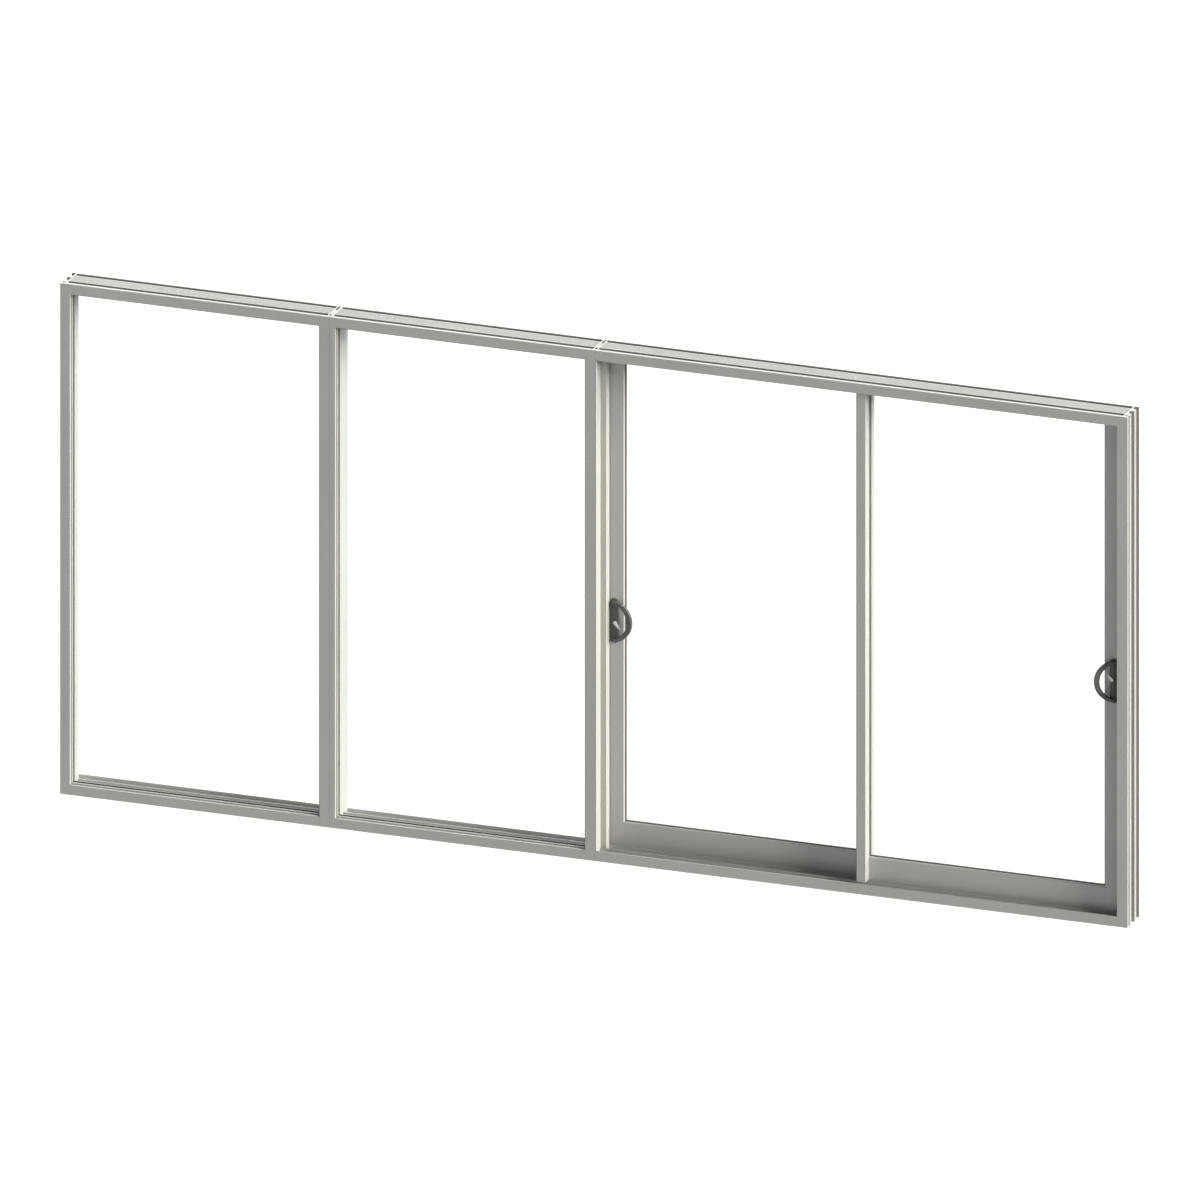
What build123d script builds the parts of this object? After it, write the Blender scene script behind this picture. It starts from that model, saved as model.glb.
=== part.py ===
"""Window wall: two fixed lights and a two-panel sliding door, coupled side by side.

Units are millimetres and +Z is up. The front faces -Y, the left end is at -X, and the
origin is at the bottom of the wall, half way along its width and its depth.

Three lengths are used to set pieces out. "u" runs from the left end, "d" runs back from
the front plane, and "o" runs inwards from the outer edge of a frame bar.
"""

import os
from math import asin, degrees

from build123d import *

# overall size
WIDTH = 4267.0
HEIGHT = 2032.0
DEPTH = 127.0

# where the three frames end along the width, and the gap between neighbours
LEFT_WIDTH = 1076.4
MIDDLE_WIDTH = 1061.4
SEAM = 0.6

# clearance of what is fitted into a seat, and of what runs past something
FIT = 0.3
RUN = 5.0

# frame bars
FACE = 39.0
SLIM_FACE = 22.0
BAR_RIB = 3.0
JAMB_CHANNEL_DEPTH = 18.0
JAMB_CHANNELS = [(14.0, 21.5), (43.0, 74.0), (95.0, 124.0)]
HEAD_CHANNEL_DEPTH = 10.0
FRONT_CHANNEL = (14.5, 35.5)
REAR_CHANNEL = (100.0, 122.0)
SERRATIONS = 7
SERRATION_PITCH = 8.0
SERRATION_WIDTH = 4.0
SERRATION_DEPTH = 2.5

# hollow chambers of the jambs, by the walls that are left around them
OUTER_WALL = 4.0
SLIM_WALL = 7.0

# recess along a seam, and the coupler that fills the middle of it
SEAM_RECESS_DEPTH = 9.0
SEAM_RECESS = (14.0, 124.0)
COUPLER = (40.0, 90.0)
COUPLER_DROP = 3.0

# glazing pocket of a fixed light, from its front lip to its rear stop
LIP = 12.0
POCKET_END = 31.5
POCKET_SINK = 6.0
STOP_RISE = 5.0
STOP_DEPTH = 8.0
JAMB_STOP_END = 83.0
JAMB_REAR = 24.0
SILL_TROUGH = 26.0
SILL_RIB_TOP = 40.0
SILL_RIB_START = 75.0
BEAD_DEPTH = 9.5
BEAD_SHOW = 6.0
GLASS = 6.0
GLASS_BITE = 2.0
GASKET_SHOW = 4.5
GASKET_BACK_SHOW = 7.0

# sliding door frame
TRACK_RIB_TOP = 40.0
TRACK_LIP = 5.0
TRACK_RIBS = [40.0, 82.0, 124.0]
TRACK_FLOOR = 14.0
HEAD_CEILING = 13.0
RAIL_BEAD = 4.0
RAIL_BEAD_TOP = 20.0
GUIDE_FIN = 3.0
GUIDE_FIN_END = 26.0
DOOR_WALL = 4.0
DOOR_BLOCK = 26.0
DOOR_BLOCK_START = 49.0
DOOR_RIGHT_FACE = 41.6
DOOR_RIGHT_POCKET = 30.0

# sliding panels
PANEL_THICK = TRACK_RIBS[1] - TRACK_RIBS[0] - BAR_RIB - 2 * RUN
PANEL_BOTTOM = 27.0
PANEL_TOP = HEIGHT - HEAD_CEILING - RUN
LOCK_STILE = 70.0
STILE_GAP = 6.0
MEETING_OFFSET = 27.0
MEETING_STILE = 39.0
MEETING_FORWARD = 36.0
MEETING_CHAMFER = 5.0
REAR_MEETING_STILE = 56.0
BOTTOM_RAIL_TOP = 133.0
TOP_RAIL = 37.0
FRONT_LEG = 7.0
GROOVE = 10.0
GROOVE_SINK = 11.0
LEG_CHAMFER = 4.0
PANEL_GASKET_SHOW = 2.5
SLOT = 13.0
BOTTOM_SLOT = 26.0
TOP_SLOT = 14.0
INTERLOCK = 3.0
INTERLOCK_REACH = 8.0
INTERLOCK_INSET = 4.0

# rollers under each panel
ROLLER_RADIUS = 12.0
ROLLER_WIDTH = 8.0
ROLLER_GROOVE = 1.5
AXLE_RADIUS = 3.0
ROLLER_INSET = 160.0

# pulls and latch levers, set out from the lever's axis and the lock height
LOCK_HEIGHT = 946.0
LEFT_LOCK = 49.5
RIGHT_LOCK = 76.0
PLATE_SHIFT = -13.0
PLATE_EDGE = 10.5
PLATE_WIDTH = 32.5
PLATE_HEIGHT = 178.0
PLATE_THICK = 3.0
PLATE_CHAMFER = 1.0
BOSS_WIDTH = 20.0
BOSS_HEIGHT = 162.0
BOSS_THICK = 4.0
BOSS_CHAMFER = 1.5
BOW_REACH = 71.0
BOW_GRIP = 22.0
BOW_FOOT = 12.0
BOW_DEPTH = 11.0
LEFT_LIFT = 4.0
RIGHT_LIFT = 27.0
BOW_CHAMFER = 3.0
LEVER_SHIFT = -19.0
LEVER_LENGTH = 32.0
LEVER_ANGLE = -51.0
LEVER_THICK = 5.0
LEVER_HUB = 7.5
LEVER_NECK = 4.5
LEVER_TIP = 3.0
LEVER_HUB_THICK = 4.0
LEVER_HUB_EDGE = 1.0

# setting-out lines along the width
LEFT_END = 0.0
LEFT_SEAM = LEFT_WIDTH
MIDDLE_START = LEFT_WIDTH + SEAM
MIDDLE_END = MIDDLE_START + MIDDLE_WIDTH
DOOR_START = MIDDLE_END + SEAM
RIGHT_END = WIDTH

# depth of the two panel faces behind the front plane
RIGHT_FACE_D = TRACK_RIBS[0] + BAR_RIB + RUN
LEFT_FACE_D = TRACK_RIBS[1] + BAR_RIB + RUN

# panel ends along the width
LEFT_PANEL_START = DOOR_START + DOOR_WALL + STILE_GAP
RIGHT_PANEL_END = RIGHT_END - DOOR_RIGHT_POCKET - STILE_GAP
MEETING_LEFT = (DOOR_START + RIGHT_END) / 2 - MEETING_OFFSET
MEETING_RIGHT = MEETING_LEFT + MEETING_STILE
LEFT_PANEL_END = MEETING_RIGHT - BAR_RIB


def upright(outline, low, high):
    """A bar standing from low to high, from an outline of (u, d) points."""
    points = [(u - WIDTH / 2, d - DEPTH / 2) for u, d in outline]
    return extrude(Pos(0, 0, low) * Polygon(*points, align=None), high - low, dir=(0, 0, 1))


def level(outline, start, end):
    """A bar lying from start to end along the width, from an outline of (d, z) points."""
    points = [(d - DEPTH / 2, z) for d, z in outline]
    plane = Plane.YZ.offset(start - WIDTH / 2)
    return extrude(plane * Polygon(*points, align=None), end - start, dir=(1, 0, 0))


def block(start, end, front, back, low, high):
    """A plain block between two lines along each of u, d and z."""
    size = Box(end - start, back - front, high - low)
    middle = ((start + end - WIDTH) / 2, (front + back - DEPTH) / 2, (low + high) / 2)
    return Pos(*middle) * size


def shift(part, across, along):
    """The part moved across the width and along the depth."""
    return Pos(across, along, 0) * part


def edge_with_channels(channels):
    """Outer edge of a bar as (o, d) points; each channel in it is a depth and its two d lines."""
    points = [(0.0, 0.0)]
    for sink, (start, end) in channels:
        points += [(0.0, start), (sink, start), (sink, end), (0.0, end)]
    return points + [(0.0, DEPTH)]


def glazed_edge(face, rear):
    """Inner edge of a fixed light's bar from its rear leg to its face, as (o, d) points."""
    return rear + [
        (face + STOP_RISE, POCKET_END),
        (face - POCKET_SINK, POCKET_END),
        (face - POCKET_SINK, LIP),
        (face, LIP),
        (face, 0.0),
    ]


plateau_middle = (FRONT_CHANNEL[1] + REAR_CHANNEL[0]) / 2
serrations = []
for index in range(SERRATIONS):
    start = plateau_middle + (index - (SERRATIONS - 1) / 2) * SERRATION_PITCH - SERRATION_WIDTH / 2
    serrations.append((SERRATION_DEPTH, (start, start + SERRATION_WIDTH)))
head_channels = [(HEAD_CHANNEL_DEPTH, FRONT_CHANNEL)] + serrations + [(HEAD_CHANNEL_DEPTH, REAR_CHANNEL)]


def jamb(edge, side, outline, chambers=(), wall=None):
    """A full-height jamb at one edge; side is 1 if the frame lies to the right of it.

    Each chamber is a hollow along the whole bar, as two o lines and two d lines. The head's
    channels run on across the jamb's top as far as its outer wall, which ends at the line wall.
    """
    bar = upright([(edge + side * o, d) for o, d in outline], 0.0, HEIGHT)
    for (near, far), (front, back) in chambers:
        corners = [(near, front), (far, front), (far, back), (near, back)]
        bar = bar - upright([(edge + side * o, d) for o, d in corners], 0.0, HEIGHT)
    if wall:
        near, far = sorted((edge + side * wall, edge + side * FACE * 2))
        for sink, (front, back) in head_channels:
            bar = bar - block(near, far, front, back, HEIGHT - sink, HEIGHT)
    return bar


def sill_bar(outline, start, end):
    """A bar at the bottom of a frame, from (o, d) points."""
    return level([(d, o) for o, d in outline], start, end)


def head_bar(outline, start, end):
    """A bar at the top of a frame, from (o, d) points."""
    return level([(d, HEIGHT - o) for o, d in outline], start, end)


def coped(bar, left, right):
    """A level bar cut to the inner edges of the two jambs that it stands between."""
    for along in (-FIT, 0.0, FIT):
        bar = bar - shift(left, FIT, along) - shift(right, -FIT, along)
    return bar


def ring(outer, inner, front, back):
    """A rectangular ring; outer and inner are (start, end, low, high)."""
    start, end, low, high = inner
    opening = block(start, end, front - 1.0, back + 1.0, low, high)
    return block(outer[0], outer[1], front, back, outer[2], outer[3]) - opening


def inset(lines, by):
    """A rectangle (start, end, low, high) drawn in by a distance on every side."""
    start, end, low, high = lines
    return (start + by, end - by, low + by, high - by)


def glazing(pane, pocket, front, back, show, back_show):
    """The gasket around a pane: a channel that holds its edge, with legs towards the middle."""
    glass_front = (front + back - GLASS) / 2
    glass_back = glass_front + GLASS
    web = ring(inset(pocket, FIT), inset(pane, -FIT), front + FIT, back - FIT)
    front_leg = ring(inset(pocket, FIT), show, front + FIT, glass_front - FIT)
    back_leg = ring(inset(pocket, FIT), back_show, glass_back + FIT, back - FIT)
    return web + front_leg + back_leg


# fixed lights
jamb_rear = [(JAMB_REAR, DEPTH), (JAMB_REAR, JAMB_STOP_END), (FACE + STOP_RISE, JAMB_STOP_END)]
slim_rear = [(SLIM_FACE + STOP_RISE, DEPTH)]
bar_rear = [
    (SILL_RIB_TOP, DEPTH),
    (SILL_RIB_TOP, DEPTH - BAR_RIB),
    (SILL_TROUGH, DEPTH - BAR_RIB),
    (SILL_TROUGH, SILL_RIB_START + BAR_RIB),
    (SILL_RIB_TOP, SILL_RIB_START + BAR_RIB),
    (SILL_RIB_TOP, SILL_RIB_START),
    (SILL_TROUGH, SILL_RIB_START),
    (SILL_TROUGH, POCKET_END + STOP_DEPTH),
    (FACE + STOP_RISE, POCKET_END + STOP_DEPTH),
]
bar_edge = edge_with_channels(head_channels)
end_edge = edge_with_channels([(JAMB_CHANNEL_DEPTH, lines) for lines in JAMB_CHANNELS])
seam_edge = edge_with_channels([(SEAM_RECESS_DEPTH, SEAM_RECESS)])
plain_edge = edge_with_channels([])
jamb_inside = glazed_edge(FACE, jamb_rear)
slim_inside = glazed_edge(SLIM_FACE, slim_rear)
fixed_bar = bar_edge + glazed_edge(FACE, bar_rear)

# chambers in line with the channels of the head
front_lines = (FRONT_CHANNEL[0], POCKET_END - BAR_RIB)
seam_wall = SEAM_RECESS_DEPTH + OUTER_WALL
seam_chambers = [
    ((seam_wall, FACE - POCKET_SINK - BAR_RIB), front_lines),
    ((seam_wall, JAMB_REAR - BAR_RIB), REAR_CHANNEL),
]
slim_chambers = [
    ((SLIM_WALL, SLIM_FACE - POCKET_SINK - BAR_RIB), front_lines),
    ((SLIM_WALL, SLIM_FACE + STOP_RISE - BAR_RIB), REAR_CHANNEL),
]


def fixed_light(name, start, end, left_jamb, left_inside, left_face, left_end):
    """The seven pieces of one fixed light, by node name."""
    left = jamb(start, 1, plain_edge + left_inside)
    right = jamb(end, -1, plain_edge + jamb_inside)
    bar_start = start + left_end + FIT
    bar_end = end - JAMB_REAR - FIT
    faces = (start + left_face, end - FACE, FACE, HEIGHT - FACE)
    pocket = inset(faces, -POCKET_SINK)
    pane = inset(faces, -GLASS_BITE)
    bead_shows = inset(faces, BEAD_SHOW)
    bead_back = LIP + BEAD_DEPTH
    legs = inset(bead_shows, GASKET_SHOW)
    back_legs = inset(faces, GASKET_BACK_SHOW)
    pane_front = (bead_back + POCKET_END - GLASS) / 2
    return {
        name + "_left_jamb": left_jamb,
        name + "_right_jamb": jamb(end, -1, seam_edge + jamb_inside, seam_chambers, seam_wall),
        name + "_head": coped(head_bar(fixed_bar, bar_start, bar_end), left, right),
        name + "_sill": coped(sill_bar(fixed_bar, bar_start, bar_end), left, right),
        name + "_bead": ring(inset(pocket, FIT), bead_shows, LIP + FIT, bead_back),
        name + "_gasket": glazing(pane, pocket, bead_back, POCKET_END, legs, back_legs),
        name + "_glass": block(pane[0], pane[1], pane_front, pane_front + GLASS, pane[2], pane[3]),
    }


nodes = {}
end_wall = JAMB_CHANNEL_DEPTH + OUTER_WALL
end_jamb = jamb(LEFT_END, 1, end_edge + jamb_inside, wall=end_wall)
nodes.update(fixed_light("left_window", LEFT_END, LEFT_SEAM, end_jamb, jamb_inside, FACE, JAMB_REAR))
slim_jamb = jamb(MIDDLE_START, 1, plain_edge + slim_inside, slim_chambers, SLIM_WALL)
slim_end = SLIM_FACE - POCKET_SINK
nodes.update(
    fixed_light("middle_window", MIDDLE_START, MIDDLE_END, slim_jamb, slim_inside, SLIM_FACE, slim_end)
)

# couplers in the seams, let into the recess of the frame on their left
for name, seam in (("left_coupler", LEFT_SEAM), ("right_coupler", MIDDLE_END)):
    coupler_start = seam - SEAM_RECESS_DEPTH + FIT
    coupler_end = seam + SEAM - FIT
    nodes[name] = block(coupler_start, coupler_end, COUPLER[0], COUPLER[1], 0.0, HEIGHT - COUPLER_DROP)

# sliding door frame
block_end = TRACK_RIBS[1] + BAR_RIB
door_left = [
    (DOOR_BLOCK, DEPTH),
    (DOOR_BLOCK, DEPTH - BAR_RIB),
    (DOOR_WALL, DEPTH - BAR_RIB),
    (DOOR_WALL, block_end),
    (DOOR_BLOCK, block_end),
    (DOOR_BLOCK, DOOR_BLOCK_START),
    (DOOR_WALL, DOOR_BLOCK_START),
    (DOOR_WALL, 0.0),
]
pocket_front = TRACK_RIBS[0] + BAR_RIB
pocket_back = TRACK_RIBS[1]
door_right = [
    (DOOR_RIGHT_FACE, DEPTH),
    (DOOR_RIGHT_FACE, pocket_back),
    (DOOR_RIGHT_POCKET, pocket_back),
    (DOOR_RIGHT_POCKET, pocket_front),
    (DOOR_RIGHT_FACE, pocket_front),
    (DOOR_RIGHT_FACE, 0.0),
]
left_track = (LEFT_FACE_D + LEFT_FACE_D + PANEL_THICK) / 2
right_track = (RIGHT_FACE_D + RIGHT_FACE_D + PANEL_THICK) / 2


def track_edge(floor, ridge, ridge_top):
    """Inner edge of the door's head or sill from back to front, with a ridge in each used track."""
    points = []
    for start, track in zip(reversed(TRACK_RIBS), (left_track, right_track, None)):
        points += [(TRACK_RIB_TOP, start + BAR_RIB), (TRACK_RIB_TOP, start), (floor, start)]
        if track:
            back = track + ridge / 2
            front = track - ridge / 2
            points += [(floor, back), (ridge_top, back), (ridge_top, front), (floor, front)]
            points += [(floor, TRACK_RIBS[TRACK_RIBS.index(start) - 1] + BAR_RIB)]
    return points + [(floor, TRACK_LIP), (TRACK_RIB_TOP, TRACK_LIP), (TRACK_RIB_TOP, 0.0)]


left_blank = jamb(DOOR_START, 1, plain_edge + door_left)
right_blank = jamb(RIGHT_END, -1, plain_edge + door_right)
track_start = DOOR_START + DOOR_WALL + FIT
track_end = RIGHT_END - DOOR_RIGHT_POCKET - FIT
door_sill = sill_bar(bar_edge + track_edge(TRACK_FLOOR, RAIL_BEAD, RAIL_BEAD_TOP), track_start, track_end)
door_head = head_bar(bar_edge + track_edge(HEAD_CEILING, GUIDE_FIN, GUIDE_FIN_END), track_start, track_end)
right_lines = (end_wall, DOOR_RIGHT_FACE - BAR_RIB)
right_chambers = [(right_lines, FRONT_CHANNEL), (right_lines, REAR_CHANNEL)]
nodes["door_left_jamb"] = jamb(DOOR_START, 1, plain_edge + door_left, wall=DOOR_WALL)
nodes["door_right_jamb"] = jamb(RIGHT_END, -1, end_edge + door_right, right_chambers, end_wall)
nodes["door_head"] = coped(door_head, left_blank, right_blank)
nodes["door_sill"] = coped(door_sill, left_blank, right_blank)


# sliding panels
def sash_edge(face):
    """Edge of a panel bar next to the glass, as (a, e): a from its far edge, e from its face."""
    sight = face + LEG_CHAMFER
    return [
        (sight, PANEL_THICK),
        (sight, FRONT_LEG + GROOVE),
        (sight - GROOVE_SINK, FRONT_LEG + GROOVE),
        (sight - GROOVE_SINK, FRONT_LEG),
        (sight, FRONT_LEG),
        (sight, LEG_CHAMFER),
        (face, 0.0),
    ]


def slotted_foot(slot):
    """Far edge of a panel rail from face to back, with a slot let into it."""
    front = (PANEL_THICK - SLOT) / 2
    back = (PANEL_THICK + SLOT) / 2
    return [(0.0, 0.0), (0.0, front), (slot, front), (slot, back), (0.0, back), (0.0, PANEL_THICK)]


def stile(edge, side, width, face_d):
    """A full-height stile with the guide slot across its top; side is 1 if the glass is to its right."""
    outline = [(0.0, 0.0), (0.0, PANEL_THICK)] + sash_edge(width)
    points = [(edge + side * a, face_d + e) for a, e in outline]
    front = face_d + (PANEL_THICK - SLOT) / 2
    slot = block(edge - 2 * width, edge + 2 * width, front, front + SLOT, PANEL_TOP - TOP_SLOT, HEIGHT)
    return upright(points, PANEL_BOTTOM, PANEL_TOP) - slot


def roller(track, at):
    """A grooved wheel and its axle, standing on the track's ridge."""
    height = RAIL_BEAD_TOP + FIT + ROLLER_RADIUS
    groove = RAIL_BEAD + 2 * FIT
    rim = Cylinder(ROLLER_RADIUS + ROLLER_GROOVE, ROLLER_WIDTH)
    hollow = Cylinder(2 * ROLLER_RADIUS, groove) - Cylinder(ROLLER_RADIUS, groove)
    axle = Cylinder(AXLE_RADIUS, SLOT - 2 * FIT)
    wheel = rim - hollow + axle
    return Pos(at - WIDTH / 2, track - DEPTH / 2, height) * Rot(90, 0, 0) * wheel


def panel(name, start, end, face_d, left_width, right_width, track, nose=None):
    """The seven pieces that both panels have alike, by node name; nose is added to the left stile."""
    left_face = start + left_width
    right_face = end - right_width
    faces = (left_face, right_face, BOTTOM_RAIL_TOP, PANEL_TOP - TOP_RAIL)
    sight = inset(faces, LEG_CHAMFER)
    pocket = inset(sight, -GROOVE_SINK)
    pane = inset(pocket, POCKET_SINK - GLASS_BITE)
    legs = inset(sight, PANEL_GASKET_SHOW)
    front = face_d + FRONT_LEG
    back = front + GROOVE
    pane_front = (front + back - GLASS) / 2
    left = stile(start, 1, left_width, face_d)
    if nose:
        left = left + nose
    right = stile(end, -1, right_width, face_d)
    bottom_edge = sash_edge(BOTTOM_RAIL_TOP - PANEL_BOTTOM)
    bottom = [(face_d + e, PANEL_BOTTOM + a) for a, e in slotted_foot(BOTTOM_SLOT) + bottom_edge]
    top_edge = sash_edge(TOP_RAIL)
    top = [(face_d + e, PANEL_TOP - a) for a, e in slotted_foot(TOP_SLOT) + top_edge]
    bar_start = left_face + LEG_CHAMFER - GROOVE_SINK + FIT
    bar_end = right_face - LEG_CHAMFER + GROOVE_SINK - FIT
    return {
        name + "_left_stile": left,
        name + "_right_stile": right,
        name + "_bottom_rail": coped(level(bottom, bar_start, bar_end), left, right),
        name + "_top_rail": coped(level(top, bar_start, bar_end), left, right),
        name + "_gasket": glazing(pane, pocket, front, back, legs, legs),
        name + "_glass": block(pane[0], pane[1], pane_front, pane_front + GLASS, pane[2], pane[3]),
        name + "_rollers": roller(track, start + ROLLER_INSET) + roller(track, end - ROLLER_INSET),
    }


# the right panel's meeting stile stands forward of the panel, over the track ribs
nose_low = TRACK_RIB_TOP + RUN
nose_high = HEIGHT - TRACK_RIB_TOP - RUN
nose_front = RIGHT_FACE_D - MEETING_FORWARD
meeting_nose = upright(
    [
        (MEETING_LEFT, nose_front + MEETING_CHAMFER),
        (MEETING_LEFT + MEETING_CHAMFER, nose_front),
        (MEETING_RIGHT, nose_front),
        (MEETING_RIGHT, RIGHT_FACE_D + LEG_CHAMFER),
        (MEETING_LEFT, RIGHT_FACE_D + LEG_CHAMFER),
    ],
    nose_low,
    nose_high,
)
left_pieces = panel(
    "left_panel", LEFT_PANEL_START, LEFT_PANEL_END, LEFT_FACE_D, LOCK_STILE, REAR_MEETING_STILE, left_track
)
meeting_face = MEETING_STILE - LEG_CHAMFER
right_pieces = panel(
    "right_panel",
    MEETING_LEFT,
    RIGHT_PANEL_END,
    RIGHT_FACE_D,
    meeting_face,
    LOCK_STILE,
    right_track,
    meeting_nose,
)

# interlock strips in the gap between the two panels
right_back = RIGHT_FACE_D + PANEL_THICK
right_lock = MEETING_LEFT + INTERLOCK_INSET
left_lock = right_lock + INTERLOCK + RUN
right_pieces["right_panel_interlock"] = block(
    right_lock, right_lock + INTERLOCK, right_back, right_back + INTERLOCK_REACH, nose_low, nose_high
)
left_pieces["left_panel_interlock"] = block(
    left_lock, left_lock + INTERLOCK, LEFT_FACE_D - INTERLOCK_REACH, LEFT_FACE_D, nose_low, nose_high
)
nodes.update(left_pieces)
nodes.update(right_pieces)

# pull and latch lever of the left panel: X from the lever's axis towards the glass, -Y forward,
# Z from the lock height
def slab(width, height, back, thick, edge):
    """A round-ended slab whose far edge is the plate's, with its front edge chamfered."""
    outline = Pos(PLATE_EDGE - width / 2, PLATE_SHIFT) * SlotOverall(height, width, rotation=90)
    solid = extrude(Plane.XZ.offset(back) * outline, thick)
    return chamfer(solid.faces().sort_by(Axis.Y)[0].edges(), edge)


front = PLATE_THICK + BOSS_THICK
boss = slab(BOSS_WIDTH, BOSS_HEIGHT, 0.0, front, BOSS_CHAMFER)
plate = slab(PLATE_WIDTH, PLATE_HEIGHT, 0.0, PLATE_THICK, PLATE_CHAMFER) + boss


def segment(reach, rise):
    """A disc that goes out to reach, and whose chord on the lever's axis is twice the rise."""
    radius = (reach**2 + rise**2) / (2 * reach)
    return Pos(reach - radius, 0) * Circle(radius)


# the bow is a crescent between two arcs that leans forward as it goes out, with its feet on the boss
bow_rise = BOSS_HEIGHT / 2
crescent = segment(BOW_REACH, bow_rise) - segment(BOW_REACH - BOW_GRIP, bow_rise - BOW_FOOT)
bow_start = PLATE_EDGE - BOSS_WIDTH
bow_span = BOW_REACH - bow_start
crescent = crescent & Pos(bow_start + bow_span / 2, 0) * Rectangle(bow_span, PLATE_HEIGHT)
bow = extrude(Plane.XZ * crescent, BOW_DEPTH + BOSS_THICK)
bow = chamfer(bow.faces().sort_by(Axis.Y)[0].edges(), BOW_CHAMFER)
seat = Box(2 * PLATE_HEIGHT, 2 * front, 2 * PLATE_HEIGHT)


def pull(lift):
    """The bow with its grip brought forward by a lift, cut off where it meets the boss."""
    lean = degrees(asin(lift / BOW_REACH))
    return Pos(0, -PLATE_THICK, PLATE_SHIFT) * Rot(0, 0, -lean) * bow - seat


# the lever is a tapered arm on a round hub, clear of the plate
lever_back = front + FIT
hub_disc = extrude(Plane.XZ.offset(lever_back) * Circle(LEVER_HUB), LEVER_HUB_THICK)
arm_outline = make_hull(
    Circle(LEVER_NECK).edges() + (Pos(LEVER_LENGTH - LEVER_TIP, 0) * Circle(LEVER_TIP)).edges()
)
arm_plane = Plane.XZ.offset(lever_back + LEVER_HUB_EDGE)
arm = extrude(arm_plane * Rot(0, 0, LEVER_ANGLE) * arm_outline, LEVER_THICK)
lever = Pos(0, 0, LEVER_SHIFT) * (hub_disc + arm)

# the right panel's set is the left one turned half round; its pull leans further forward, because
# nothing slides in front of it
left_place = Pos(DOOR_START + LEFT_LOCK - WIDTH / 2, LEFT_FACE_D - DEPTH / 2, LOCK_HEIGHT)
right_place = Pos(RIGHT_END - RIGHT_LOCK - WIDTH / 2, RIGHT_FACE_D - DEPTH / 2, LOCK_HEIGHT) * Rot(0, 180, 0)
for name, place, lift in (("left", left_place, LEFT_LIFT), ("right", right_place, RIGHT_LIFT)):
    nodes[name + "_panel_plate"] = place * plate
    nodes[name + "_panel_pull"] = place * pull(lift)
    nodes[name + "_latch_lever"] = place * lever

os.makedirs("parts", exist_ok=True)
for name, solid in nodes.items():
    export_step(solid, os.path.join("parts", name + ".step"))
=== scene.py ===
"""Looks of a window wall: two fixed lights and a two-panel sliding door.

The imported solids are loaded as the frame, every piece gets a finish, and the pulls, latch
levers and plate screws are modelled here in more detail than the solids have.
"""

import logging
import math
from dataclasses import dataclass
from enum import Enum

import bmesh
import bpy
from mathutils import Matrix, Vector


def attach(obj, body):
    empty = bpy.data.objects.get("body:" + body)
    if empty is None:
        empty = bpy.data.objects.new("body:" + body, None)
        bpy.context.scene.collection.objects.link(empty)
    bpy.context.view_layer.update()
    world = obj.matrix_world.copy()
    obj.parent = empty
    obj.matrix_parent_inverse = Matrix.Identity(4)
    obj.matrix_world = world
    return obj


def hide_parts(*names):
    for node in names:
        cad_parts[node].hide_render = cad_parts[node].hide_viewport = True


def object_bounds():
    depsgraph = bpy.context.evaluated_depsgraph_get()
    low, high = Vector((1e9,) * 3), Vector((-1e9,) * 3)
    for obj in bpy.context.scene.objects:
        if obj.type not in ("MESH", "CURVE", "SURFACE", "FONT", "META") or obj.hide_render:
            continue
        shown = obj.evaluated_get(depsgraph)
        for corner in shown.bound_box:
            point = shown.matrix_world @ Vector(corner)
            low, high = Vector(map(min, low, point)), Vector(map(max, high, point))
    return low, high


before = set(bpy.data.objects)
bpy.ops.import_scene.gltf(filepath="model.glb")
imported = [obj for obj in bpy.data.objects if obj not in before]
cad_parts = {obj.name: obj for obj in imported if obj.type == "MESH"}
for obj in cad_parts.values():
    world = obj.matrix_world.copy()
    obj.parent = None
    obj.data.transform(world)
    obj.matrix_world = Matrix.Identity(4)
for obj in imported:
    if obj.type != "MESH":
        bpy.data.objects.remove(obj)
CAD_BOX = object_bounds()
LOG = logging.getLogger("window_wall")


class Slot(Enum):
    """Material slots of the record."""

    FRAME = "frame_metal"
    PANEL = "panel_metal"
    GLASS = "clear_glass"
    GASKET = "dark_gasket"
    HANDLE = "dark_handle"
    LEVER = "satin_lever"
    ROLLER = "roller_nylon"


class Body(Enum):
    """Bodies that pieces ride on."""

    FRAME = "frame"
    LEFT_PANEL = "left_panel"
    RIGHT_PANEL = "right_panel"
    LEFT_LATCH = "left_latch"
    RIGHT_LATCH = "right_latch"


class Grain(Enum):
    """Direction in which a bar was drawn, as the axis that its fine streaks follow."""

    ACROSS = 0
    UPRIGHT = 2


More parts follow.
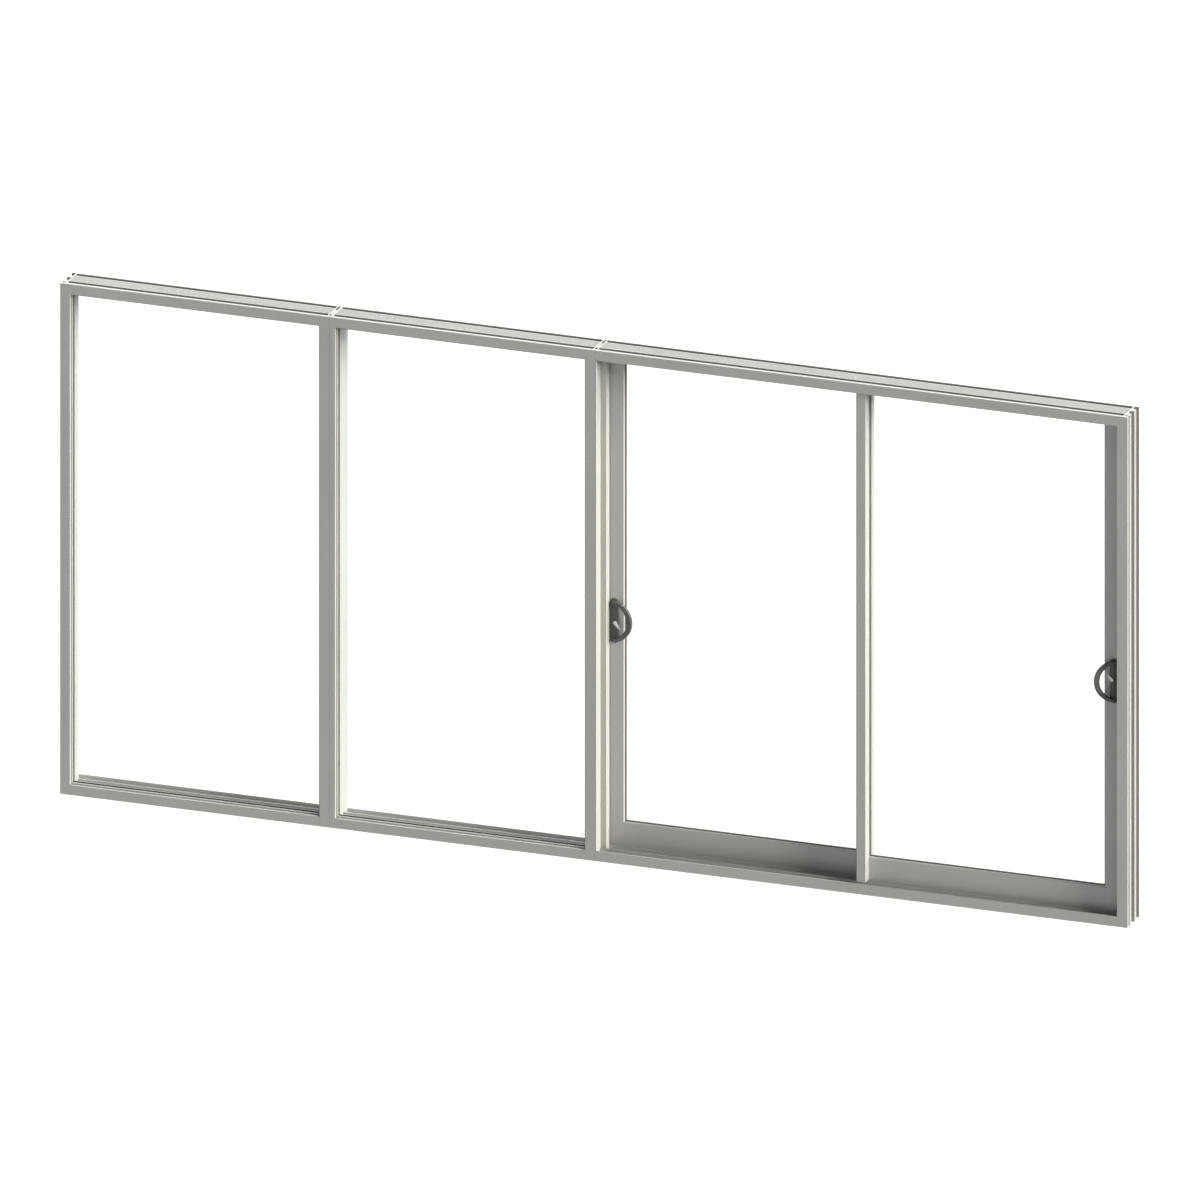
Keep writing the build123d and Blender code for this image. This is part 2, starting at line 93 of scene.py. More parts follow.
class NodeTree:
    """A material's node tree with a few short hands."""

    def __init__(self, name: str) -> None:
        """Starts a material with one Principled shader."""
        self.material = bpy.data.materials.new(name)
        self.material.use_nodes = True
        self.nodes = self.material.node_tree.nodes
        self.nodes.clear()
        self.output = self.nodes.new("ShaderNodeOutputMaterial")
        self.shader = self.nodes.new("ShaderNodeBsdfPrincipled")
        self.link(self.shader.outputs["BSDF"], self.output.inputs["Surface"])
        self.place = self.nodes.new("ShaderNodeTexCoord").outputs["Object"]
        self.parts = self.nodes.new("ShaderNodeSeparateXYZ")
        self.link(self.place, self.parts.inputs["Vector"])

    def link(self, out: bpy.types.NodeSocket, into: bpy.types.NodeSocket) -> None:
        """Joins two sockets."""
        self.material.node_tree.links.new(out, into)

    def noise(self, scale: tuple[float, float, float], detail: float) -> bpy.types.NodeSocket:
        """Adds noise on object coordinates.

        Args:
            scale: Scale along each axis, per metre.
            detail: Octaves of the noise.

        Returns:
            The noise's factor socket.
        """
        mapping = self.nodes.new("ShaderNodeMapping")
        mapping.inputs["Scale"].default_value = scale
        texture = self.nodes.new("ShaderNodeTexNoise")
        texture.inputs["Scale"].default_value = 1.0
        texture.inputs["Detail"].default_value = detail
        self.link(self.place, mapping.inputs["Vector"])
        self.link(mapping.outputs["Vector"], texture.inputs["Vector"])
        return texture.outputs["Fac"]

    def ramp(
        self,
        fac: bpy.types.NodeSocket,
        low: tuple[float, tuple[float, float, float]],
        high: tuple[float, tuple[float, float, float]],
    ) -> bpy.types.NodeSocket:
        """Turns a factor into a colour between two stops.

        Args:
            fac: The factor.
            low: Place and colour of the first stop.
            high: Place and colour of the second stop.

        Returns:
            The colour socket.
        """
        ramp = self.nodes.new("ShaderNodeValToRGB")
        for stop, (at, colour) in zip(ramp.color_ramp.elements, (low, high)):
            stop.position = at
            stop.color = (*colour, 1.0)
        self.link(fac, ramp.inputs["Fac"])
        return ramp.outputs["Color"]

    def spread(
        self,
        fac: bpy.types.NodeSocket,
        low: float,
        high: float,
        span: tuple[float, float] = (0.3, 0.7),
    ) -> bpy.types.NodeSocket:
        """Spreads a factor over a range of values.

        Args:
            fac: The factor.
            low: Value at the start of the span.
            high: Value at the end of the span.
            span: Part of the factor's range that is spread.

        Returns:
            The value socket.
        """
        node = self.nodes.new("ShaderNodeMapRange")
        node.inputs["From Min"].default_value = span[0]
        node.inputs["From Max"].default_value = span[1]
        node.inputs["To Min"].default_value = low
        node.inputs["To Max"].default_value = high
        self.link(fac, node.inputs["Value"])
        return node.outputs["Result"]

    def bump(self, height: bpy.types.NodeSocket, strength: float, distance: float) -> None:
        """Gives the shader a bump.

        Args:
            height: Height socket.
            strength: Strength of the bump.
            distance: Height of the bump in metres.
        """
        node = self.nodes.new("ShaderNodeBump")
        node.inputs["Strength"].default_value = strength
        node.inputs["Distance"].default_value = distance
        self.link(height, node.inputs["Height"])
        self.link(node.outputs["Normal"], self.shader.inputs["Normal"])

    def axis(self, name: str) -> bpy.types.NodeSocket:
        """Gives one of the object coordinates, named X, Y or Z."""
        return self.parts.outputs[name]

    def math(self, operation: str, *values: bpy.types.NodeSocket | float) -> bpy.types.NodeSocket:
        """Reckons with sockets and numbers.

        Args:
            operation: Name of the operation.
            values: What it is done with.

        Returns:
            The value socket.
        """
        node = self.nodes.new("ShaderNodeMath")
        node.operation = operation
        for into, value in zip(node.inputs, values):
            if isinstance(value, float):
                into.default_value = value
            else:
                self.link(value, into)
        return node.outputs["Value"]

    def within(self, value: bpy.types.NodeSocket, low: float, high: float) -> bpy.types.NodeSocket:
        """Gives 1 where a value lies between two limits, and 0 elsewhere."""
        return self.math("COMPARE", value, (low + high) / 2.0, (high - low) / 2.0)


@dataclass(frozen=True)
class PaintedChannelShade:
    """Dull film in the head's open channels and on the outer sides, which a building hides.

    Attributes:
        slots: Front and back of each channel along the head.
        sunk: Depth of the head's channels.
        side: Depth of the channels in the outer sides.
        onset: Depth at which the painted shade is full.
        side_share: Share of the painted shade on the outer sides.
        tone: Colour that full painted shade multiplies the metal with.
        slack: How far past a channel's faces the painted shade may reach.
    """

    slots: tuple[tuple[float, float], ...] = ((-0.049, -0.028), (0.0365, 0.0585))
    sunk: float = 0.010
    side: float = 0.018
    onset: float = 0.005
    side_share: float = 0.6
    tone: tuple[float, float, float] = (0.38, 0.38, 0.375)
    slack: float = 0.0005

    def along_head(self, tree: NodeTree) -> bpy.types.NodeSocket:
        """Finds the painted shade in the head's channels, fuller with depth.

        Args:
            tree: Node tree of the metal.

        Returns:
            The painted shade's share, from 0 to 1.
        """
        depth = tree.math("SUBTRACT", CAD_BOX[1][2], tree.axis("Z"))
        share = tree.spread(depth, 0.0, 1.0, (self.slack, self.onset))
        share = tree.math("MULTIPLY", share, tree.within(depth, 0.0, self.sunk + self.slack))
        front, rear = (
            tree.within(tree.axis("Y"), low - self.slack, high + self.slack) for low, high in self.slots
        )
        return tree.math("MULTIPLY", share, tree.math("MAXIMUM", front, rear))

    def on_sides(self, tree: NodeTree) -> bpy.types.NodeSocket:
        """Finds the painted shade on the outer sides and in their channels.

        Args:
            tree: Node tree of the metal.

        Returns:
            The painted shade's share, from 0 to 1.
        """
        depth = tree.math("SUBTRACT", CAD_BOX[1][0], tree.math("ABSOLUTE", tree.axis("X")))
        inside = tree.within(depth, -self.slack, self.side + self.slack)
        share = tree.math("MULTIPLY", inside, self.side_share)
        below = tree.math("LESS_THAN", tree.axis("Z"), CAD_BOX[1][2] - self.slack)
        behind = tree.math("GREATER_THAN", tree.axis("Y"), CAD_BOX[0][1] + self.slack)
        return tree.math("MULTIPLY", share, tree.math("MULTIPLY", below, behind))

    def paint_shade(self, tree: NodeTree, colour: bpy.types.NodeSocket) -> bpy.types.NodeSocket:
        """Darkens a colour with painted shade.

        Args:
            tree: Node tree of the metal.
            colour: The metal's colour.

        Returns:
            The colour with the painted shade on it.
        """
        mix = tree.nodes.new("ShaderNodeMix")
        mix.data_type = "RGBA"
        mix.blend_type = "MULTIPLY"
        factor, under, over = mix.inputs[0], mix.inputs[6], mix.inputs[7]
        # Painted shade mask: the head's channels and the outer sides of the wall.
        tree.link(tree.math("MAXIMUM", self.along_head(tree), self.on_sides(tree)), factor)
        tree.link(colour, under)
        over.default_value = (*self.tone, 1.0)
        return mix.outputs[2]


@dataclass(frozen=True)
class SatinMetal:
    """Satin anodised aluminium with faint streaks along the bar, and painted shade in its channels and
    on the outer sides.

    Attributes:
        name: Name of the material.
        colour: Base colour, linear.
        grain: Direction of the streaks.
        roughness: Middle of the roughness.
        painted_shade: Painted shade in the channels and on the outer sides.
    """

    name: str
    colour: tuple[float, float, float]
    grain: Grain
    roughness: float = 0.42
    painted_shade: PaintedChannelShade = PaintedChannelShade()

    def material(self) -> bpy.types.Material:
        """Builds the node tree.

        Returns:
            The finished material.
        """
        made = bpy.data.materials.get(self.name)
        if made:
            return made
        tree = NodeTree(self.name)
        shader = tree.shader
        shader.inputs["Metallic"].default_value = 0.15
        shader.inputs["Specular IOR Level"].default_value = 0.4
        scale = [260.0, 260.0, 260.0]
        scale[self.grain.value] = 1.5
        streaks = tree.noise(tuple(scale), detail=3.0)
        cloud = tree.noise((2.2, 2.2, 2.2), detail=4.0)
        low = tuple(c * 0.955 for c in self.colour)
        high = tuple(min(1.0, c * 1.03) for c in self.colour)
        shade = tree.ramp(cloud, (0.3, low), (0.7, high))
        # Painted shade: the colour is darkened in the head's channels and on the outer sides.
        tree.link(self.painted_shade.paint_shade(tree, shade), shader.inputs["Base Color"])
        rough = tree.spread(streaks, self.roughness - 0.07, self.roughness + 0.07)
        tree.link(rough, shader.inputs["Roughness"])
        tree.bump(streaks, 0.06, 0.0004)
        return tree.material


@dataclass(frozen=True)
class ClearGlass:
    """Clear float glass: what is behind shows, and a little is mirrored.

    Attributes:
        name: Name of the material.
        tint: Colour of what shows through.
        mirror: Share that is mirrored.
    """

    name: str = "clear_float_glass"
    tint: tuple[float, float, float] = (0.985, 0.995, 0.99)
    mirror: float = 0.03

    def material(self) -> bpy.types.Material:
        """Builds the node tree.

        Returns:
            The finished material.
        """
        made = bpy.data.materials.get(self.name)
        if made:
            return made
        tree = NodeTree(self.name)
        nodes = tree.nodes
        nodes.remove(tree.shader)
        clear = nodes.new("ShaderNodeBsdfTransparent")
        clear.inputs["Color"].default_value = (*self.tint, 1.0)
        gloss = nodes.new("ShaderNodeBsdfGlossy")
        smudges = tree.noise((9.0, 9.0, 9.0), detail=4.0)
        tree.link(tree.spread(smudges, 0.01, 0.05), gloss.inputs["Roughness"])
        mix = nodes.new("ShaderNodeMixShader")
        mix.inputs["Fac"].default_value = self.mirror
        tree.link(clear.outputs["BSDF"], mix.inputs[1])
        tree.link(gloss.outputs["BSDF"], mix.inputs[2])
        tree.link(mix.outputs["Shader"], tree.output.inputs["Surface"])
        return tree.material


@dataclass(frozen=True)
class SpeckledCoat:
    """A coat, rubber or plastic with a fine grain.

    Attributes:
        name: Name of the material.
        colour: Base colour, linear.
        roughness: Middle of the roughness.
        grain_size: Noise scale of the grain, per metre.
        relief: Bump distance in metres.
        metallic: Share of metal.
    """

    name: str
    colour: tuple[float, float, float]
    roughness: float
    grain_size: float = 900.0
    relief: float = 0.0002
    metallic: float = 0.0

    def material(self) -> bpy.types.Material:
        """Builds the node tree.

        Returns:
            The finished material.
        """
        made = bpy.data.materials.get(self.name)
        if made:
            return made
        tree = NodeTree(self.name)
        shader = tree.shader
        shader.inputs["Metallic"].default_value = self.metallic
        grain = tree.noise((self.grain_size,) * 3, detail=2.0)
        cloud = tree.noise((18.0, 18.0, 18.0), detail=3.0)
        low = tuple(c * 0.88 for c in self.colour)
        high = tuple(min(1.0, c * 1.1) for c in self.colour)
        tree.link(tree.ramp(cloud, (0.3, low), (0.7, high)), shader.inputs["Base Color"])
        rough = tree.spread(grain, self.roughness - 0.08, self.roughness + 0.08)
        tree.link(rough, shader.inputs["Roughness"])
        tree.bump(grain, 0.12, self.relief)
        return tree.material


METAL = (0.433, 0.428, 0.412)
FRAME_UPRIGHT = SatinMetal("frame_satin_upright", METAL, Grain.UPRIGHT)
FRAME_ACROSS = SatinMetal("frame_satin_across", METAL, Grain.ACROSS)
GLASS = ClearGlass()
RUBBER = SpeckledCoat("gasket_rubber", (0.1, 0.1, 0.1), 0.7)
GLAZING_RUBBER = SpeckledCoat("glazing_rubber", (0.05, 0.05, 0.05), 0.7)
HANDLE_COAT = SpeckledCoat("pull_dark_coat", (0.085, 0.085, 0.083), 0.45)
LEVER_METAL = SpeckledCoat("lever_satin_metal", (0.72, 0.72, 0.7), 0.34, metallic=0.25)
NYLON = SpeckledCoat("roller_nylon", (0.72, 0.72, 0.7), 0.5)


def dress(node: str, finish: SatinMetal | ClearGlass | SpeckledCoat) -> None:
    """Gives a node of the solids its finish.

    Args:
        node: Name of the node.
        finish: What it is made of.
    """
    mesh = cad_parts[node].data
    mesh.materials.clear()
    mesh.materials.append(finish.material())
    LOG.info("dressed %s", node)


class Shape:
    """A new piece while it is being modelled."""

    def __init__(self) -> None:
        """Starts an empty mesh."""
        self.mesh = bmesh.new()

    def new_edges(self, before: set[bmesh.types.BMEdge]) -> list[bmesh.types.BMEdge]:
        """Lists the edges made since a set of them was taken."""
        return [edge for edge in self.mesh.edges if edge not in before]

    def arc(self, centre: Vector, start: Vector, turn: float, steps: int) -> list[bmesh.types.BMEdge]:
        """Spins a point about an axis along the depth.

        Args:
            centre: Middle of the arc.
            start: Where the arc starts.
            turn: Angle of the arc, from +X towards +Z.
            steps: Number of edges.

        Returns:
            The edges of the arc.
        """
        before = set(self.mesh.edges)
        first = bmesh.ops.create_vert(self.mesh, co=start)["vert"]
        bmesh.ops.spin(
            self.mesh, geom=first, cent=centre, axis=(0.0, -1.0, 0.0), angle=turn, steps=steps
        )
        return self.new_edges(before)

    def disc(
        self, radius: float, at: tuple[float, float, float], segments: int = 40
    ) -> list[bmesh.types.BMVert]:
        """Makes a ring of points in the plane across Z.

        Args:
            radius: Radius of the ring.
            at: Its middle.
            segments: Number of points.

        Returns:
            The points.
        """
        place = Matrix.Translation(at)
        made = bmesh.ops.create_circle(self.mesh, segments=segments, radius=radius, matrix=place)
        return made["verts"]

    def round_off(
        self, size: float, segments: int, edges: list[bmesh.types.BMEdge] | None = None
    ) -> None:
        """Rounds the sharp edges.

        Args:
            size: How far the rounding reaches from an edge.
            segments: Number of faces across the rounding.
            edges: Edges to choose from; all of them if left out.
        """
        pool = self.mesh.edges[:] if edges is None else edges
        limit = math.radians(50.0)
        sharp = [edge for edge in pool if edge.is_manifold and edge.calc_face_angle() > limit]
        bmesh.ops.bevel(
            self.mesh,
            geom=sharp,
            offset=size,
            segments=segments,
            profile=0.5,
            affect="EDGES",
            material=-1,
            clamp_overlap=True,
        )

    def move(self, matrix: Matrix) -> None:
        """Moves all of it."""
        bmesh.ops.transform(self.mesh, matrix=matrix, verts=self.mesh.verts)

    def finish(
        self, name: str, finish: SpeckledCoat, body: Body, slot: Slot, stands_for: str = ""
    ) -> bpy.types.Object:
        """Makes the piece an object of the scene.

        Args:
            name: Name of the piece.
            finish: What it is made of.
            body: Body that it rides on.
            slot: Slot of the record that its finish belongs to; not used.
            stands_for: Node that it replaces, if any.

        Returns:
            The finished object.
        """
        bmesh.ops.recalc_face_normals(self.mesh, faces=self.mesh.faces)
        data = bpy.data.meshes.new(name)
        self.mesh.to_mesh(data)
        self.mesh.free()
        data.shade_smooth()
        data.set_sharp_from_angle(angle=math.radians(35.0))
        data.materials.append(finish.material())
        piece = bpy.data.objects.new(name, data)
        bpy.context.scene.collection.objects.link(piece)
        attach(piece, body.value)
        if stands_for:
            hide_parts(stands_for)
        LOG.info("built %s", name)
        return piece


@dataclass
class BowPull:
    """The bowed pull: a crescent between two arcs, leaning forward, with its feet on the boss.

    Attributes:
        lift: How far the grip comes forward.
        reach: Outer arc's reach from the lever's axis.
        rise: Half of the outer arc's chord on that axis.
        grip: Width of the grip.
        foot: Width of each foot.
        start: Line where the feet end, from the lever's axis.
        back: Line that the bow leans from, before the panel's face.
        seat: Face of the boss, before the panel's face.
        depth: Depth of the bow from its leaning line.
        shift: Height of its middle above the lock height.
        edge: Rounding of its edges.
        steps: Edges along each arc.
    """

    lift: float
    reach: float = 0.071
    rise: float = 0.081
    grip: float = 0.022
    foot: float = 0.012
    start: float = -0.0095
    back: float = 0.003
    seat: float = 0.007
    depth: float = 0.015
    shift: float = -0.013
    edge: float = 0.0032
    steps: int = 48

    def rim(self, shape: Shape, reach: float, rise: float) -> list[bmesh.types.BMEdge]:
        """Draws one arc of the crescent.

        Args:
            shape: Piece to draw in.
            reach: Reach of the arc.
            rise: Half of its chord on the lever's axis.

        Returns:
            The edges of the arc.
        """
        radius = (reach**2 + rise**2) / (2.0 * reach)
        middle = reach - radius
        half = math.acos((self.start - middle) / radius)
        low = Vector((self.start, 0.0, -radius * math.sin(half)))
        return shape.arc(Vector((middle, 0.0, 0.0)), low, 2.0 * half, self.steps)

    def build(self) -> Shape:
        """Models the pull around the lever's axis.

        Returns:
            The pull, with +X towards the glass and -Y forward.
        """
        shape = Shape()
        mesh = shape.mesh
        outer = self.rim(shape, self.reach, self.rise)
        inner = self.rim(shape, self.reach - self.grip, self.rise - self.foot)
        bmesh.ops.bridge_loops(mesh, edges=outer + inner)
        grown = bmesh.ops.extrude_face_region(mesh, geom=mesh.faces[:])
        front = [item for item in grown["geom"] if isinstance(item, bmesh.types.BMVert)]
        bmesh.ops.translate(mesh, verts=front, vec=(0.0, -self.depth, 0.0))
        bmesh.ops.recalc_face_normals(mesh, faces=mesh.faces)
        shape.round_off(self.edge, 4)
        lean = Matrix.Rotation(-math.asin(self.lift / self.reach), 4, "Z")
        shape.move(Matrix.Translation((0.0, -self.back, self.shift)) @ lean)
        everything = mesh.verts[:] + mesh.edges[:] + mesh.faces[:]
        bmesh.ops.bisect_plane(
            mesh,
            geom=everything,
            plane_co=(0.0, -self.seat, 0.0),
            plane_no=(0.0, 1.0, 0.0),
            clear_outer=True,
        )
        rims = [edge for edge in mesh.edges if edge.is_boundary]
        bmesh.ops.holes_fill(mesh, edges=rims, sides=0)
        return shape


@dataclass
class LatchLever:
    """The latch lever: a pear-shaped arm on a round hub.

    Attributes:
        hub: Radius of the hub.
        hub_thick: Thickness of the hub.
        neck: Radius of the arm at the hub.
        tip: Radius of the arm at its end.
        length: Length of the arm from the axis to its end.
        thick: Thickness of the arm.
        step: How far the arm stands before the hub's back.
        angle: Angle of the arm from +X towards +Z.
        back: Back of the hub, before the panel's face.
        shift: Height of the axis above the lock height.
        edge: Rounding of its edges.
    """

    hub: float = 0.0075
    hub_thick: float = 0.004
    neck: float = 0.0072
    tip: float = 0.0021
    length: float = 0.032
    thick: float = 0.005
    step: float = 0.001
    angle: float = -51.0
    back: float = 0.0073
    shift: float = -0.019
    edge: float = 0.0009

    def build(self) -> Shape:
        """Models the lever around its panel's lock.

        Returns:
            The lever, with +X towards the glass and -Y forward.
        """
        shape = Shape()
        mesh = shape.mesh
        turn = math.radians(self.angle)
        along = self.length - self.tip
        end = (along * math.cos(turn), along * math.sin(turn))
        points = []
        for height, trim in ((self.step, 0.0), (self.step + self.thick, 0.0006)):
            points += shape.disc(self.neck - trim, (0.0, 0.0, height))
            points += shape.disc(self.tip - trim, (*end, height), 24)
        hull = bmesh.ops.convex_hull(mesh, input=points)
        spare = {item for key in ("geom_interior", "geom_unused") for item in hull[key]}
        spare = [item for item in spare if isinstance(item, bmesh.types.BMVert)]
        bmesh.ops.delete(mesh, geom=spare, context="VERTS")
        bmesh.ops.dissolve_limit(
            mesh, angle_limit=math.radians(1.0), verts=mesh.verts[:], edges=mesh.edges[:]
        )
        shape.round_off(self.edge, 3)
        before = set(mesh.edges)
        seat = Matrix.Translation((0.0, 0.0, self.hub_thick / 2.0))
        bmesh.ops.create_cone(
            mesh,
            cap_ends=True,
            segments=48,
            radius1=self.hub,
            radius2=self.hub * 0.96,
            depth=self.hub_thick,
            matrix=seat,
        )
        shape.round_off(self.edge, 3, shape.new_edges(before))
        upright = Matrix.Rotation(math.radians(90.0), 4, "X")
        shape.move(Matrix.Translation((0.0, -self.back, self.shift)) @ upright)
        return shape


@dataclass
class PlateScrew:
    """A low screw head with a round recess.

    Attributes:
        at: Its middle, from the lever's axis and the lock height.
        radius: Radius of the head.
        height: Height of the head.
        recess: Width left around the recess.
        sink: Depth of the recess.
        back: Face that it sits on, before the panel's face.
    """

    at: tuple[float, float]
    radius: float = 0.0026
    height: float = 0.0012
    recess: float = 0.0013
    sink: float = 0.0008
    back: float = 0.003

    def build(self) -> Shape:
        """Models the screw head.

        Returns:
            The head, with +X towards the glass and -Y forward.
        """
        shape = Shape()
        mesh = shape.mesh
        seat = Matrix.Translation((0.0, 0.0, self.height / 2.0))
        bmesh.ops.create_cone(
            mesh,
            cap_ends=True,
            segments=24,
            radius1=self.radius,
            radius2=self.radius * 0.9,
            depth=self.height,
            matrix=seat,
        )
        top = max(mesh.faces, key=lambda face: face.calc_center_median().z)
        bmesh.ops.inset_region(mesh, faces=[top], thickness=self.recess)
        sunk = bmesh.ops.extrude_face_region(mesh, geom=[top])
        verts = [item for item in sunk["geom"] if isinstance(item, bmesh.types.BMVert)]
        bmesh.ops.delete(mesh, geom=[top], context="FACES_ONLY")
        bmesh.ops.translate(mesh, verts=verts, vec=(0.0, 0.0, -self.sink))
        shape.round_off(0.0003, 2)
        upright = Matrix.Rotation(math.radians(90.0), 4, "X")
        x, z = self.at
        shape.move(Matrix.Translation((x, -self.back, z)) @ upright)
        return shape


@dataclass(frozen=True)
class HandlePlace:
    """Where a handle set sits on its panel.

    Attributes:
        at: The lever's axis at the lock height, on the panel's face.
        turned: Whether the set is turned half round, towards the left.
        lift: How far the pull's grip comes forward.
    """

    at: tuple[float, float, float]
    turned: bool
    lift: float

    def matrix(self) -> Matrix:
        """Gives the placing matrix of the set."""
        turn = math.pi if self.turned else 0.0
        return Matrix.Translation(self.at) @ Matrix.Rotation(turn, 4, "Y")


@dataclass
class FixedLight:
    """One fixed light: four bars, a bead, a gasket and a pane.

    Attributes:
        name: Start of its nodes' names.
    """

    name: str

    def build(self) -> None:
        """Dresses the light's nodes."""
        for end in ("left_jamb", "right_jamb"):
            dress(f"{self.name}_{end}", FRAME_UPRIGHT)
        for end in ("head", "sill", "bead"):
            dress(f"{self.name}_{end}", FRAME_ACROSS)
        dress(f"{self.name}_gasket", GLAZING_RUBBER)
        dress(f"{self.name}_glass", GLASS)


@dataclass
class DoorFrame:
    """The sliding door's frame and the couplers beside it."""

    def build(self) -> None:
        """Dresses the frame's nodes."""
        for node in ("door_left_jamb", "door_right_jamb", "left_coupler", "right_coupler"):
            dress(node, FRAME_UPRIGHT)
        for node in ("door_head", "door_sill"):
            dress(node, FRAME_ACROSS)


@dataclass
class SlidingPanel:
    """One sliding panel with its pull, latch lever and plate screws.

    Attributes:
        name: Start of its nodes' names.
        latch: Name of its lever's node.
        body: Body of the panel.
        latch_body: Body of the lever.
        place: Where its handle set sits.
        screws: Middles of the plate's screws.
    """

    name: str
    latch: str
    body: Body
    latch_body: Body
    place: HandlePlace
    screws: tuple[tuple[float, float], ...] = ((-0.0155, 0.05), (-0.0155, -0.076))

    def build(self) -> None:
        """Dresses the panel's nodes and builds its handle set."""
        for end in ("left_stile", "right_stile", "interlock"):
            dress(f"{self.name}_{end}", FRAME_UPRIGHT)
        for end in ("top_rail", "bottom_rail"):
            dress(f"{self.name}_{end}", FRAME_ACROSS)
        dress(f"{self.name}_gasket", RUBBER)
        dress(f"{self.name}_glass", GLASS)
        dress(f"{self.name}_rollers", NYLON)
        dress(f"{self.name}_plate", HANDLE_COAT)
        self.handle()

    def handle(self) -> None:
        """Builds the pull, the lever and the screws."""
        place = self.place.matrix()
        pull = BowPull(self.place.lift).build()
        pull.move(place)
        name = f"{self.name}_bow_pull"
        pull.finish(name, HANDLE_COAT, self.body, Slot.HANDLE, f"{self.name}_pull")
        lever = LatchLever().build()
        lever.move(place)
        lever.finish(f"{self.name}_lever", LEVER_METAL, self.latch_body, Slot.LEVER, self.latch)
        for count, at in enumerate(self.screws, 1):
            screw = PlateScrew(at).build()
            screw.move(place)
            screw.finish(f"{self.name}_plate_screw_{count}", HANDLE_COAT, self.body, Slot.HANDLE)


def bearing(azimuth: float, elevation: float) -> Vector:
    """Finds the direction of something that stands around the wall.

    Args:
        azimuth: Degrees to the right of the front.
        elevation: Degrees above the ground.

    Returns:
        A vector of length 1 from the wall towards it.
    """
    turn, tilt = math.radians(azimuth), math.radians(elevation)
    return Vector((math.sin(turn) * math.cos(tilt), -math.cos(turn) * math.cos(tilt), math.sin(tilt)))


@dataclass(frozen=True)
class Lamp:
    """A broad far light.

    Attributes:
        name: Name of the lamp.
        power: Strength.
        spread: Degrees that it takes up in the sky.
        azimuth: Degrees to the right of the front.
        elevation: Degrees above the ground.
        colour: Its colour, linear.
    """

    name: str
    power: float
    spread: float
    azimuth: float
    elevation: float
    colour: tuple[float, float, float]

    def hang(self) -> None:
        """Hangs the lamp."""
        data = bpy.data.lights.new(self.name, "SUN")
        data.energy = self.power
        data.angle = math.radians(self.spread)
        data.color = self.colour
        lamp = bpy.data.objects.new(self.name, data)
        bpy.context.scene.collection.objects.link(lamp)
        away = bearing(self.azimuth, self.elevation)
        lamp.matrix_world = (-away).to_track_quat("-Z", "Y").to_matrix().to_4x4()


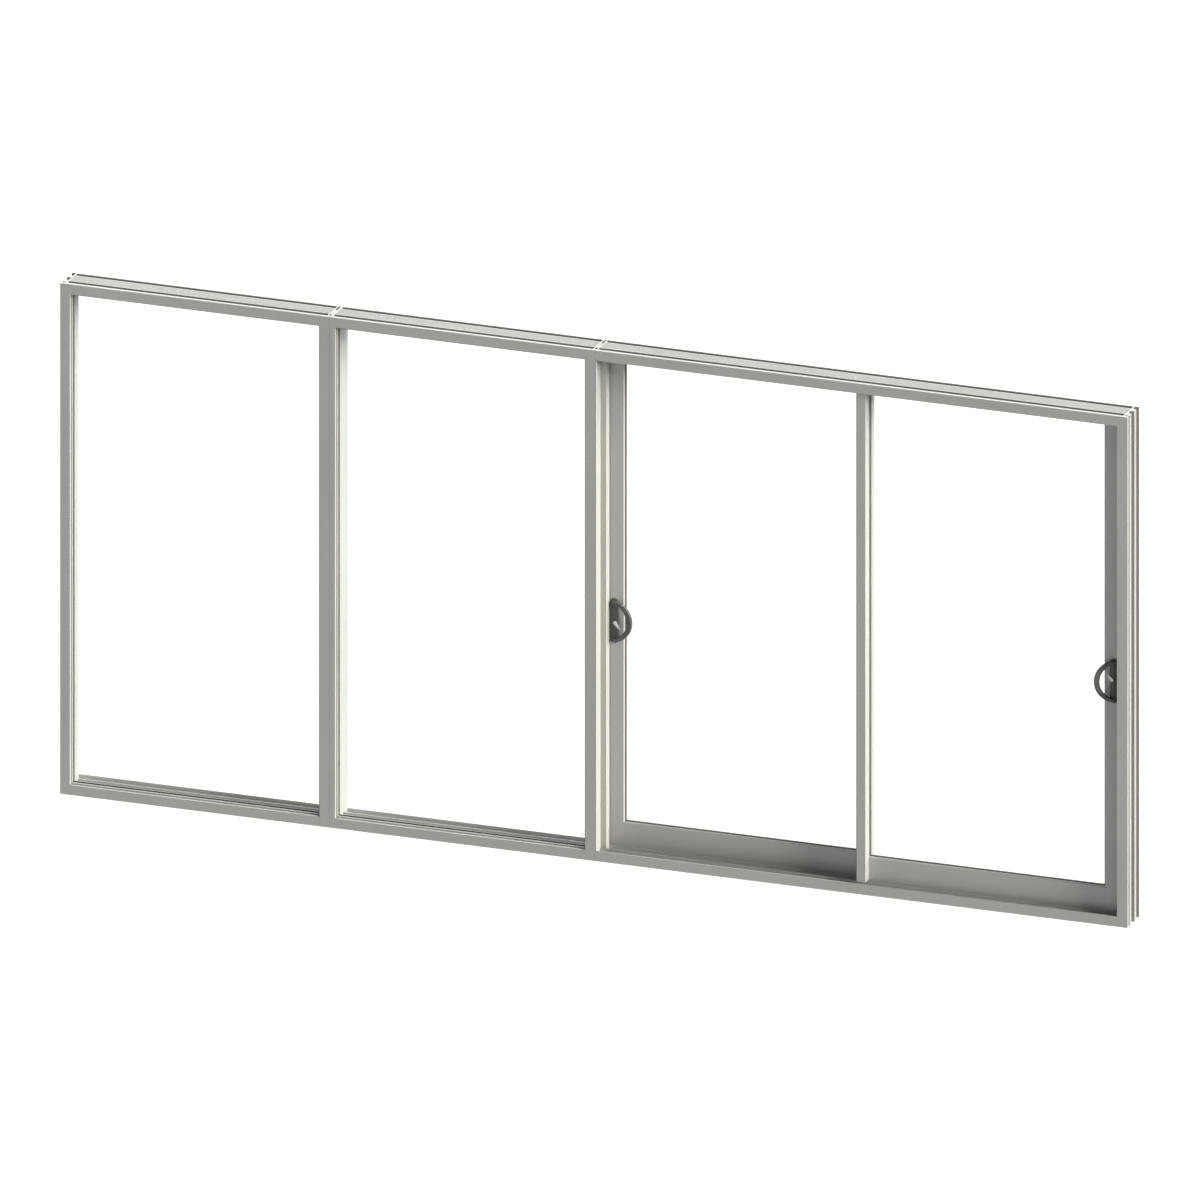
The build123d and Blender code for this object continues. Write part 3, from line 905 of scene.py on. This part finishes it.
@dataclass
class Studio:
    """Floor, light and camera.

    Attributes:
        azimuth: Degrees that the camera stands to the right of the front.
        elevation: Degrees that it looks down.
        span: Width of the picture in metres.
        middle: Point that it looks at.
        light_above: Strength of the even light from above.
        light_below: Strength of the even light from below.
        key: Warm light from the right.
        top: Soft light from above and behind.
    """

    azimuth: float = 20.44
    elevation: float = 19.75
    span: float = 4.495
    middle: tuple[float, float, float] = (0.0015, 0.0, 1.017)
    light_above: float = 0.25
    light_below: float = 0.73
    key: Lamp = Lamp("key_light", 9.3, 30.0, 86.0, 18.0, (1.0, 0.98, 0.9))
    top: Lamp = Lamp("top_light", 4.9, 24.0, 176.0, 46.0, (0.985, 0.99, 1.0))

    def build(self) -> None:
        """Makes the floor, the sky, the two lamps and the camera."""
        self.floor()
        self.sky()
        self.key.hang()
        self.top.hang()
        self.camera()
        view = bpy.context.scene.view_settings
        view.view_transform = "Standard"
        view.look = "None"

    def floor(self) -> None:
        """Lays a pale floor that gives back an even light."""
        made = bmesh.new()
        bmesh.ops.create_grid(made, x_segments=1, y_segments=1, size=40.0)
        bmesh.ops.translate(made, verts=made.verts, vec=(0.0, 0.0, -0.001))
        mesh = bpy.data.meshes.new("pale_floor")
        made.to_mesh(mesh)
        made.free()
        floor = bpy.data.objects.new("pale_floor", mesh)
        bpy.context.scene.collection.objects.link(floor)
        tree = NodeTree("pale_floor")
        tree.shader.inputs["Base Color"].default_value = (0.3, 0.3, 0.3, 1.0)
        tree.shader.inputs["Roughness"].default_value = 1.0
        tree.shader.inputs["Specular IOR Level"].default_value = 0.0
        tree.shader.inputs["Emission Color"].default_value = (1.0, 1.0, 1.0, 1.0)
        tree.shader.inputs["Emission Strength"].default_value = 0.85
        mesh.materials.append(tree.material)
        floor.visible_diffuse = False
        floor.visible_glossy = False

    def sky(self) -> None:
        """Sets a sky that looks white and lights the wall only faintly."""
        world = bpy.data.worlds.new("pale_sky")
        bpy.context.scene.world = world
        world.use_nodes = True
        tree = world.node_tree
        shade = tree.nodes["Background"]
        shade.inputs["Color"].default_value = (1.0, 1.0, 1.0, 1.0)
        place = tree.nodes.new("ShaderNodeTexCoord")
        parts = tree.nodes.new("ShaderNodeSeparateXYZ")
        tree.links.new(place.outputs["Generated"], parts.inputs["Vector"])
        height = tree.nodes.new("ShaderNodeMapRange")
        height.inputs["From Min"].default_value = -0.2
        height.inputs["From Max"].default_value = 0.2
        height.inputs["To Min"].default_value = self.light_below
        height.inputs["To Max"].default_value = self.light_above
        tree.links.new(parts.outputs["Z"], height.inputs["Value"])
        path = tree.nodes.new("ShaderNodeLightPath")
        spread = tree.nodes.new("ShaderNodeMapRange")
        spread.inputs["To Max"].default_value = 1.0
        tree.links.new(path.outputs["Is Camera Ray"], spread.inputs["Value"])
        tree.links.new(height.outputs["Result"], spread.inputs["To Min"])
        tree.links.new(spread.outputs["Result"], shade.inputs["Strength"])

    def camera(self) -> None:
        """Sets the camera at the photograph's angle."""
        data = bpy.data.cameras.new("camera")
        data.type = "ORTHO"
        data.ortho_scale = self.span
        data.clip_end = 100.0
        camera = bpy.data.objects.new("camera", data)
        bpy.context.scene.collection.objects.link(camera)
        away = bearing(self.azimuth, self.elevation)
        at = Vector(self.middle) + away * 12.0
        turn = (-away).to_track_quat("-Z", "Y").to_matrix().to_4x4()
        camera.matrix_world = Matrix.Translation(at) @ turn
        bpy.context.scene.camera = camera


def main() -> None:
    """Builds the wall piece by piece."""
    logging.basicConfig(level=logging.INFO)
    for name in ("left_window", "middle_window"):
        FixedLight(name).build()
    DoorFrame().build()
    left = HandlePlace((0.055, 0.0265, 0.946), False, 0.004)
    right = HandlePlace((2.0575, -0.0155, 0.946), True, 0.027)
    SlidingPanel("left_panel", "left_latch_lever", Body.LEFT_PANEL, Body.LEFT_LATCH, left).build()
    SlidingPanel("right_panel", "right_latch_lever", Body.RIGHT_PANEL, Body.RIGHT_LATCH, right).build()
    Studio().build()


if __name__ == "__main__":
    main()
